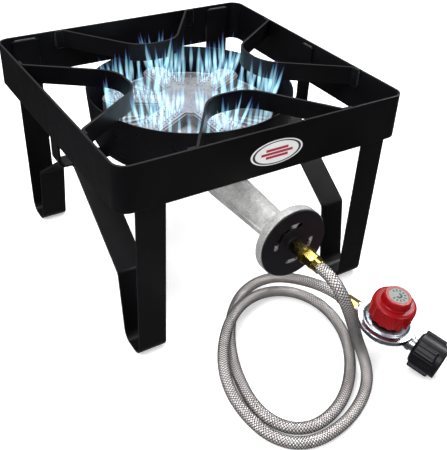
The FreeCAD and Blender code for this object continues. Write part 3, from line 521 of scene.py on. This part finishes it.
# Hose centre line (x, y, z): down in front of the mixer, then coiled on the floor
# clockwise seen from above, and up to the regulator
HOSE_PATH = [
    (0.6, -338.5, 153.6), (5.5, -350.5, 138.0), (14.5, -354.0, 116.0), (26.0, -351.5, 92.0),
    (38.0, -347.5, 68.0), (48.0, -346.5, 45.5), (53.5, -352.5, 27.0), (50.5, -366.0, 14.0),
    (34.5, -384.4, 7.9), (14.2, -398.3, 7.6), (-13.2, -410.5, 7.6), (-37.2, -416.2, 7.6),
    (-66.8, -416.8, 7.6), (-89.3, -408.5, 7.6), (-107.7, -386.4, 7.6), (-114.7, -362.9, 7.8),
    (-117.3, -338.7, 9.7), (-116.4, -310.1, 15.7), (-110.2, -287.2, 20.9), (-96.7, -261.4, 23.7),
    (-82.4, -241.7, 24.1), (-62.4, -220.3, 24.1), (-43.3, -205.1, 23.7), (-22.3, -193.0, 21.8),
    (5.0, -183.3, 17.0), (29.3, -180.9, 12.4), (56.4, -189.8, 8.6), (72.2, -208.1, 7.6),
    (80.9, -236.3, 7.6), (80.9, -260.7, 7.6), (74.6, -289.3, 7.6), (65.0, -311.8, 7.6),
    (52.2, -332.5, 7.6), (33.5, -355.1, 7.6), (15.7, -371.7, 7.6), (-8.8, -387.8, 7.6),
    (-31.7, -396.5, 7.6), (-60.9, -398.3, 7.6), (-82.2, -387.9, 7.6), (-95.4, -367.7, 7.6),
    (-100.0, -338.8, 7.6), (-97.5, -314.4, 7.6), (-90.6, -286.0, 7.6), (-82.4, -263.0, 7.6),
    (-69.8, -236.6, 7.6), (-57.2, -215.8, 7.6), (-39.6, -192.6, 7.6), (-22.1, -175.2, 8.0),
    (-1.0, -161.6, 9.9), (25.3, -159.8, 17.5), (42.2, -172.7, 27.6), (52.1, -193.8, 38.3),
    (59.0, -217.0, 47.6), (66.0, -240.0, 53.6),
]


def spline_tangents(knots, spans, first, last):
    """Tangents of a smooth cubic spline with given end tangents (tridiagonal solve)."""
    diagonal, target = [], []
    for i in range(1, len(knots) - 1):
        before, after = spans[i - 1], spans[i]
        diagonal.append(2.0 * (before + after))
        target.append((knots[i] - knots[i - 1]) * (3.0 * after / before)
                      + (knots[i + 1] - knots[i]) * (3.0 * before / after))
    target[0] = target[0] - first * spans[1]
    target[-1] = target[-1] - last * spans[-2]
    count = len(diagonal)
    for i in range(1, count):
        factor = spans[i + 1] / diagonal[i - 1]
        diagonal[i] -= factor * spans[i - 1]
        target[i] = target[i] - target[i - 1] * factor
    inner = [None] * count
    inner[-1] = target[-1] / diagonal[-1]
    for i in range(count - 2, -1, -1):
        inner[i] = (target[i] - inner[i + 1] * spans[i]) / diagonal[i]
    return [first, *inner, last]


def hose_line():
    start = Vector((0, HOSE_START_Y, MIXER_Z))
    bend_start = Vector((0, HOSE_START_Y - HOSE_STRAIGHT, MIXER_Z))
    end = REG_CENTRE / MM + REG_X * HOSE_END_X
    bend_end = REG_CENTRE / MM + REG_X * (HOSE_END_X - HOSE_STRAIGHT)
    knots = [bend_start] + [Vector(point) for point in HOSE_PATH] + [bend_end]
    spans = [(b - a).length for a, b in zip(knots, knots[1:])]
    tangents = spline_tangents(knots, spans, Vector((0, -1, 0)), REG_X.copy())
    line = [start + (bend_start - start) * (i / 10.0) for i in range(10)]
    for i, span in enumerate(spans):
        count = max(2, int(round(span / 1.5)))
        for j in range(count):
            u = j / count
            line.append(knots[i] * (2 * u ** 3 - 3 * u ** 2 + 1)
                        + tangents[i] * ((u ** 3 - 2 * u ** 2 + u) * span)
                        + knots[i + 1] * (3 * u ** 2 - 2 * u ** 3)
                        + tangents[i + 1] * ((u ** 3 - u ** 2) * span))
    return line + [bend_end + (end - bend_end) * (i / 10.0) for i in range(11)]


def resample(line, step):
    """Points spaced evenly along a polyline, and its length."""
    travel = [0.0]
    for a, b in zip(line, line[1:]):
        travel.append(travel[-1] + (b - a).length)
    total = travel[-1]
    count = int(round(total / step))
    points, j = [], 0
    for i in range(count + 1):
        goal = total * i / count
        while j < len(travel) - 2 and travel[j + 1] < goal:
            j += 1
        part = (goal - travel[j]) / max(1e-9, travel[j + 1] - travel[j])
        points.append(line[j].lerp(line[j + 1], min(1.0, max(0.0, part))))
    return points, total


def weave_height(phase_u, phase_v):
    """Height of the weave, 0 to 1, where ribbons of the two helices cross."""
    sine_u, sine_v = math.sin(math.pi * phase_u), math.sin(math.pi * phase_v)
    over, under = abs(sine_u), abs(sine_v)
    if not sine_u * sine_v > 0:
        over, under = under, over
    return (over ** 0.6) * (0.35 + 0.65 * under ** 0.5)


def braided_hose():
    centres, total = resample(hose_line(), HOSE_STEP)
    rings = len(centres)
    # Cross-section axes, carried along the line without twist
    axes, side = [], Vector((1, 0, 0))
    for i in range(rings):
        tangent = (centres[min(rings - 1, i + 2)] - centres[max(0, i - 2)]).normalized()
        side = (side - tangent * side.dot(tangent)).normalized()
        axes.append((side.copy(), tangent.cross(side)))

    def phases(ring, turn):
        travel = total * ring / (rings - 1)
        return CARRIERS * (turn + travel / LAY), CARRIERS * (turn - travel / LAY)

    def ring_point(ring, angle, radius):
        across, up = axes[ring]
        return (centres[ring] + across * (radius * math.cos(angle))
                + up * (radius * math.sin(angle))) * MM

    angles = [2 * math.pi * j / HOSE_SIDES for j in range(HOSE_SIDES)]
    points = []
    for i in range(rings):
        for angle in angles:
            height = weave_height(*phases(i, angle / (2 * math.pi)))
            radius = HOSE_RADIUS - WEAVE_DEPTH + WEAVE_DEPTH * height
            points.append(ring_point(i, angle, radius))
    faces = tube_faces(rings, HOSE_SIDES)
    uvs = tube_uvs(rings, HOSE_SIDES, lambda ring, side: phases(ring, side / HOSE_SIDES))
    # A flat annulus at each end; the bore circle inside it is filled on closing
    bore = len(points)
    for i in (0, rings - 1):
        points += [ring_point(i, angle, HOSE_BORE) for angle in angles]
    for end, i in enumerate((0, rings - 1)):
        outer, inner = i * HOSE_SIDES, bore + end * HOSE_SIDES
        for j in range(HOSE_SIDES):
            k = (j + 1) % HOSE_SIDES
            if end == 0:
                faces.append((outer + k, outer + j, inner + j, inner + k))
            else:
                faces.append((outer + j, outer + k, inner + k, inner + j))
            uvs += [(0.25, 0.25)] * 4
    ob = make_object("braided_hose", points, faces, uvs, close=True)
    ob.data.materials.append(MATERIALS["steel_braid"])
    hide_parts("hose_braid")
    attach(ob, "stand")


braided_hose()


# ------------------------------------------------------------------- welds
def weld_material():
    mat = Surface("weld_bead_paint")
    coarse = mat.noise(scale=400.0, detail=4.0, rough=0.65)
    fine = mat.noise(scale=1800.0, detail=2.0)
    dark, light = (0.008, 0.008, 0.009), (0.026, 0.025, 0.026)
    mat.set(color=mat.mix(mat.remap(coarse, span=(0.35, 0.65)), dark, light),
            roughness=mat.remap(coarse, span=(0.3, 0.7), to=(0.28, 0.5)))
    mat.bump(fine, distance=0.0001, strength=0.3)
    mat.bump(coarse, distance=0.0004, strength=0.35)
    return mat.material


WELD = weld_material()
BEAD_SIDES = 10
BEAD_STEP = 0.7
BEAD_RIPPLE = 2.0             # spacing of the ripples

# Weld lines: (name, start, end, bead radius). Support welds are given at the right of
# the front support, leg and bracket welds at the right back.
SUPPORT_WELDS = [
    ("", (116.2, -198.8, 266.5), (116.2, -198.8, 288.0), 1.7),
    ("_low", (103.5, -199.0, 264.5), (115.5, -199.0, 264.5), 1.5),
]
LEG_WELDS = [
    ("top", (146, 198.8, 284.2), (178.5, 198.8, 284.2), 2.0),
    ("low", (143.0, 199.3, 232.0), (143.0, 199.3, 256.0), 1.4),
    ("mid", (146, 13.0, 189.6), (178.5, 13.0, 189.6), 2.2),
]
BRACKET_WELD = ("bracket_top", (198.8, -10.5, 284.2), (198.8, 10.5, 284.2), 2.0)


def bead(name, start, end, radius):
    """Rippled fillet weld along a straight joint, built ring by ring."""
    start, end = Vector(start) * MM, Vector(end) * MM
    along = end - start
    length = along.length
    along.normalize()
    helper = Vector((0, 0, 1)) if abs(along.z) < 0.9 else Vector((1, 0, 0))
    across = along.cross(helper).normalized()
    up = along.cross(across)
    steps = max(6, int(length / MM / BEAD_STEP))
    points = []
    for i in range(steps + 1):
        t = i / steps
        taper = min(1.0, min(t, 1 - t) * length / (radius * MM) * 0.9 + 0.05)
        ripple = 0.10 * math.sin(2 * math.pi * t * length / MM / BEAD_RIPPLE)
        size = radius * MM * math.sqrt(taper) * (1.0 + ripple + rng.uniform(-0.05, 0.05))
        centre = start + along * (length * t) + across * rng.uniform(-0.1, 0.1) * MM
        for j in range(BEAD_SIDES):
            angle = 2 * math.pi * j / BEAD_SIDES
            points.append(centre + across * size * math.cos(angle) + up * size * math.sin(angle))
    faces = tube_faces(steps + 1, BEAD_SIDES)
    faces.append(tuple(range(BEAD_SIDES - 1, -1, -1)))
    faces.append(tuple(steps * BEAD_SIDES + j for j in range(BEAD_SIDES)))
    ob = make_object(name, points, faces)
    ob.data.materials.append(WELD)
    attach(ob, "stand")


def support_welds():
    for side_name, degrees in (("front", 0), ("right", 90), ("rear", 180), ("left", 270)):
        cosine, sine = math.cos(math.radians(degrees)), math.sin(math.radians(degrees))
        for mirror, tag in ((-1, "a"), (1, "b")):
            def turned(point):
                x, y, z = mirror * point[0], point[1], point[2]
                return (x * cosine - y * sine, x * sine + y * cosine, z)
            for suffix, start, end, radius in SUPPORT_WELDS:
                name = "weld_support_%s_%s%s" % (side_name, tag, suffix)
                bead(name, turned(start), turned(end), radius)


def leg_welds():
    for mirror_x, x_tag in ((-1, "l"), (1, "r")):
        def mirrored(point, mirror_y):
            return (mirror_x * point[0], mirror_y * point[1], point[2])
        for mirror_y, y_tag in ((-1, "f"), (1, "b")):
            for level, start, end, radius in LEG_WELDS:
                bead("weld_leg_%s_%s" % (level, x_tag + y_tag),
                     mirrored(start, mirror_y), mirrored(end, mirror_y), radius)
        name, start, end, radius = BRACKET_WELD
        bead("weld_%s_%s" % (name, x_tag), mirrored(start, 1), mirrored(end, 1), radius)


support_welds()
leg_welds()

# ------------------------------------------------- parting line of the casting
SEAM_STEPS, SEAM_SIDES = 90, 6
SEAM_START_Y, SEAM_LENGTH = -243.5, 144.0
# Mixer cone: radius at its front end, growth over its length
CONE_RADIUS, CONE_GROWTH, CONE_START_Y, CONE_LENGTH = 18.0, 6.5, -245.0, 149.0
SEAM_HEIGHT, SEAM_HALF_WIDTH = 0.95, 1.5
SEAM_SINK = 0.35              # depth of the ridge's root below the tube wall


def seam(name, side):
    """Low ridge along one side of the mixer tube, following its cone."""
    points = []
    for i in range(SEAM_STEPS + 1):
        t = i / SEAM_STEPS
        y = SEAM_START_Y + t * SEAM_LENGTH
        wall = CONE_RADIUS + CONE_GROWTH * (y - CONE_START_Y) / CONE_LENGTH
        uneven = SEAM_HEIGHT + 0.18 * math.sin(9.0 * t + side) + rng.uniform(-0.07, 0.07)
        height = uneven * min(1.0, 12 * t, 12 * (1 - t)) + 0.02
        middle_z = MIXER_Z + 0.25 * math.sin(6.0 * t)
        for j in range(SEAM_SIDES):
            angle = math.pi * j / (SEAM_SIDES - 1) - math.pi / 2
            x = side * (wall - SEAM_SINK + (height + SEAM_SINK) * math.cos(angle))
            z = middle_z + SEAM_HALF_WIDTH * math.sin(angle)
            points.append(Vector((x, y, z)) * MM)
    faces = tube_faces(SEAM_STEPS + 1, SEAM_SIDES)
    faces.append(tuple(range(SEAM_SIDES)))
    faces.append(tuple(SEAM_STEPS * SEAM_SIDES + j for j in reversed(range(SEAM_SIDES))))
    ob = make_object(name, points, faces, close=True)
    ob.data.materials.append(MATERIALS["cast_aluminium"])
    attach(ob, "stand")


seam("casting_seam_left", -1)
seam("casting_seam_right", 1)


# ------------------------------------------------------------------ flames
def flame_material():
    """Additive glow: pale cyan mid-tongue, blue at its sides, violet at its tip."""
    material, tree = new_material_tree("gas_flame")
    graph = Graph(tree)
    height = graph.split(graph.add("UVMap").outputs[0])[1]
    core = graph.ramp(height, [
        (0.0, (0.12, 0.26, 0.50)), (0.14, (0.34, 0.62, 0.75)), (0.38, (0.55, 0.88, 0.92)),
        (0.62, (0.30, 0.70, 0.80)), (0.82, (0.08, 0.22, 0.50)), (1.0, (0.10, 0.03, 0.20))])
    side = graph.ramp(height, [
        (0.0, (0.01, 0.05, 0.20)), (0.30, (0.02, 0.16, 0.38)), (0.65, (0.03, 0.12, 0.36)),
        (0.85, (0.07, 0.03, 0.28)), (1.0, (0.03, 0.0, 0.08))])
    core_share = graph.ramp(graph.facing(), [
        (0.0, (1, 1, 1)), (0.30, (0.75, 0.75, 0.75)), (0.75, (0, 0, 0)), (1.0, (0, 0, 0))])
    density = graph.ramp(height, [
        (0.0, (0.2,) * 3), (0.12, (0.6,) * 3), (0.40, (1.0,) * 3), (0.70, (0.7,) * 3),
        (0.9, (0.35,) * 3), (1.0, (0.0,) * 3)])
    # Only front faces glow, so each wall counts once
    front = graph.math("SUBTRACT", 1.0, graph.add("NewGeometry").outputs["Backfacing"])
    brightness = 0.70
    glow = graph.add("Emission", {"Color": graph.mix(core_share, side, core),
                                  "Strength": graph.mul(graph.mul(density, front), brightness)})
    clear = graph.add("BsdfTransparent")
    both = graph.add("AddShader", {0: clear.outputs[0], 1: glow.outputs[0]})
    graph.add("OutputMaterial", {0: both.outputs[0]})
    return material


FLAME_RINGS, FLAME_SIDES = 12, 10
HEAD_RADIUS, ARM_WIDTH = 121.0, 38.0
PORT_OFFSET = 12.6            # outer ports from the arm's centre line
INNER_PORT_OFFSET = 8.0
PORT_PITCH = 6.3
ARM_FLAME_Z = 242.4
RIM_RADIUS, RIM_FLAME_Z, RIM_COUNT = 114.0, 231.5, 60
BULGE_AT = 0.35               # share of a tongue's height where it is widest


def flames():
    """Tongues along six arms, around each arm tip and round the rim between arms."""
    points, faces, uvs = [], [], []

    def tongue(x, y, height, width, lean_x, lean_y, base_z=ARM_FLAME_Z):
        faces.extend(tube_faces(FLAME_RINGS, FLAME_SIDES, len(points)))
        uvs.extend(tube_uvs(FLAME_RINGS, FLAME_SIDES,
                            lambda ring, side: (side / FLAME_SIDES, ring / (FLAME_RINGS - 1))))
        phase = rng.uniform(0, 6.28)
        for i in range(FLAME_RINGS):
            t = i / (FLAME_RINGS - 1)
            if t < BULGE_AT:
                radius = width * (0.35 + 1.1 * t)
            else:
                radius = width * 0.735 * (1 - ((t - BULGE_AT) / (1 - BULGE_AT)) ** 1.6) + 0.02
            centre_x = x + lean_x * t + 0.9 * math.sin(phase + 5.0 * t) * t
            centre_y = y + lean_y * t + 0.7 * math.cos(phase + 4.0 * t) * t
            for j in range(FLAME_SIDES):
                angle = 2 * math.pi * j / FLAME_SIDES
                points.append(Vector((centre_x + radius * math.cos(angle),
                                      centre_y + radius * math.sin(angle),
                                      base_z + height * t)) * MM)

    draw = rng.uniform
    tip_centre = HEAD_RADIUS - ARM_WIDTH / 2.0
    for arm in range(6):
        arm_angle = math.radians(30.0 + 60.0 * arm)
        cosine, sine = math.cos(arm_angle), math.sin(arm_angle)

        def put(out, across, height, width, lean_out, lean_across):
            """A tongue placed along and across this arm."""
            tongue(out * cosine - across * sine, out * sine + across * cosine, height, width,
                   lean_out * cosine - lean_across * sine,
                   lean_out * sine + lean_across * cosine)

        for side in (-1, 1):
            for i in range(10):
                out = 44.0 + PORT_PITCH * i
                grow = (out - 40.0) / 70.0
                if i % 2 == 0:
                    put(out, side * PORT_OFFSET, draw(42, 54) + 8 * grow, draw(3.1, 4.0),
                        5 * grow * draw(0.6, 1.3), side * draw(2, 5 + 14 * grow))
                else:
                    put(out, side * PORT_OFFSET, draw(12, 22), draw(1.3, 1.8),
                        2 * grow, side * draw(0, 3))
                # Inner row, half a pitch further out; every third tongue is tall
                out += PORT_PITCH / 2
                if out < 104:
                    put(out, side * INNER_PORT_OFFSET, draw(8, 16) if i % 3 else draw(34, 46),
                        draw(1.3, 1.8) if i % 3 else 2.8, 2 * grow, draw(-2, 2))
        for degrees in range(-60, 61, 20):
            angle = math.radians(degrees)
            big = degrees % 40 == 0 or abs(degrees) == 60
            lean = draw(8, 14) if big else draw(2, 6)
            put(tip_centre + PORT_OFFSET * math.cos(angle), PORT_OFFSET * math.sin(angle),
                draw(48, 62) if big else draw(16, 26), draw(3.0, 4.0) if big else 1.7,
                lean * math.cos(angle * 0.6), lean * math.sin(angle * 1.3))
    for i in range(RIM_COUNT):
        angle = 2 * math.pi * i / RIM_COUNT
        if abs(math.degrees(angle) % 60.0 - 30.0) < 8.5:
            continue              # an arm is in the way
        lean = 5.0 * draw(0.2, 1.0)
        tongue(RIM_RADIUS * math.cos(angle), RIM_RADIUS * math.sin(angle), draw(46, 60),
               draw(3.1, 4.1), lean * math.cos(angle), lean * math.sin(angle), RIM_FLAME_Z)
    ob = make_object("gas_flames", points, faces, uvs)
    ob.data.materials.append(flame_material())
    ob.visible_shadow = False


flames()


# ------------------------------------------------------------------- floor
def floor_material():
    """Matt near-white, lifted by a little emission that only the camera sees."""
    mat = Surface("floor_pale")
    cloud = mat.remap(mat.noise(scale=2.0), span=(0.3, 0.7))
    mat.set(color=mat.mix(cloud, (0.90, 0.90, 0.90), (0.93, 0.93, 0.93)),
            roughness=0.9, specular=0.1)
    camera_ray = mat.add("LightPath").outputs["Is Camera Ray"]
    lift = mat.add("Emission", {"Color": (1, 1, 1), "Strength": mat.mul(camera_ray, 0.42)})
    both = mat.add("AddShader", {0: mat.shader.outputs[0], 1: lift.outputs[0]})
    mat.feed(mat.output.inputs[0], both.outputs[0])
    return mat.material


def grid_floor():
    half, cells, z = 6.0, 24, -0.0004
    row = cells + 1
    ticks = [-half + 2 * half * i / cells for i in range(row)]
    points = [(x, y, z) for y in ticks for x in ticks]
    faces = [(j * row + i, j * row + i + 1, (j + 1) * row + i + 1, (j + 1) * row + i)
             for j in range(cells) for i in range(cells)]
    ob = make_object("floor", points, faces, smooth=False)
    ob.data.materials.append(floor_material())
    ob.visible_glossy = False


grid_floor()


# ------------------------------------------------------------------ lights
def area(name, place, target, size, power, size_y=None):
    light = bpy.data.lights.new(name, "AREA")
    light.energy = power
    light.size = size
    if size_y:
        light.shape = "RECTANGLE"
        light.size_y = size_y
    ob = bpy.data.objects.new(name, light)
    scene.collection.objects.link(ob)
    ob.location = place
    aim = Vector(target) - Vector(place)
    ob.rotation_euler = aim.to_track_quat("-Z", "Y").to_euler()


def flame_glow():
    """Faint blue light just above the burner head."""
    light = bpy.data.lights.new("flame_glow", "POINT")
    light.energy = 0.08
    light.color = (0.25, 0.5, 1.0)
    light.shadow_soft_size = 0.06
    ob = bpy.data.objects.new("flame_glow", light)
    ob.location = (0, 0, 0.285)
    scene.collection.objects.link(ob)


area("key", place=(-1.5, -0.7, 2.2), target=(0, -0.1, 0.15), size=1.3, power=44)
area("left_strip", place=(-2.0, 0.5, 0.8), target=(-0.2, 0, 0.2), size=0.6, power=13, size_y=1.4)
area("top", place=(0.3, 0.7, 2.4), target=(0, 0, 0.2), size=1.4, power=34)
area("front_fill", place=(0.9, -2.2, 1.7), target=(0, -0.2, 0.15), size=0.9, power=9)
area("right_strip", place=(1.7, 0.2, 1.5), target=(0.1, -0.25, 0.05), size=0.7, power=26)
flame_glow()

# ------------------------------------------------------------------- world
# Studio surroundings: (height from straight down = 0 to straight up = 1, grey level)
SKY_BANDS = [(0.0, 0.30), (0.30, 0.04), (0.50, 0.05), (0.58, 0.30), (0.66, 0.06),
             (0.72, 1.0), (0.80, 1.0), (0.85, 0.12), (1.0, 0.8)]


def studio_world():
    """Banded grey surroundings for the light, plain white for the camera."""
    world = bpy.data.worlds.new("studio")
    scene.world = world
    world.use_nodes = True
    graph = Graph(world.node_tree)
    up = graph.split(graph.add("TexCoord").outputs["Generated"])[2]
    height = graph.math("MULTIPLY_ADD", up, 0.5, 0.5)
    sky = graph.ramp(height, [(at, (grey, grey, grey * 1.02)) for at, grey in SKY_BANDS])
    banded = graph.add("Background", {"Color": sky, "Strength": 0.75})
    white = graph.add("Background", {"Color": (1, 1, 1), "Strength": 1.0})
    camera_ray = graph.add("LightPath").outputs["Is Camera Ray"]
    mixed = graph.add("MixShader", {0: camera_ray, 1: banded.outputs[0], 2: white.outputs[0]})
    graph.add("OutputWorld", {0: mixed.outputs[0]})


studio_world()
scene.view_settings.view_transform = "Standard"
scene.view_settings.look = "None"


# ------------------------------------------------------------------ camera
def add_camera():
    """Camera at the front left, looking down at the stand."""
    data = bpy.data.cameras.new("camera")
    ob = bpy.data.objects.new("camera", data)
    scene.collection.objects.link(ob)
    # Columns: right, up, backward, position
    ob.matrix_world = Matrix((
        (0.851380, 0.274393, -0.447057, -0.456979),
        (-0.523146, 0.506462, -0.685430, -0.800620),
        (0.038340, 0.817438, 0.574739, 0.675781),
        (0, 0, 0, 1)))
    data.sensor_fit = "AUTO"
    data.sensor_width = 36.0
    data.lens = 57.72232
    data.clip_start = 0.02
    data.clip_end = 50.0
    scene.camera = ob


add_camera()

bpy.context.view_layer.update()
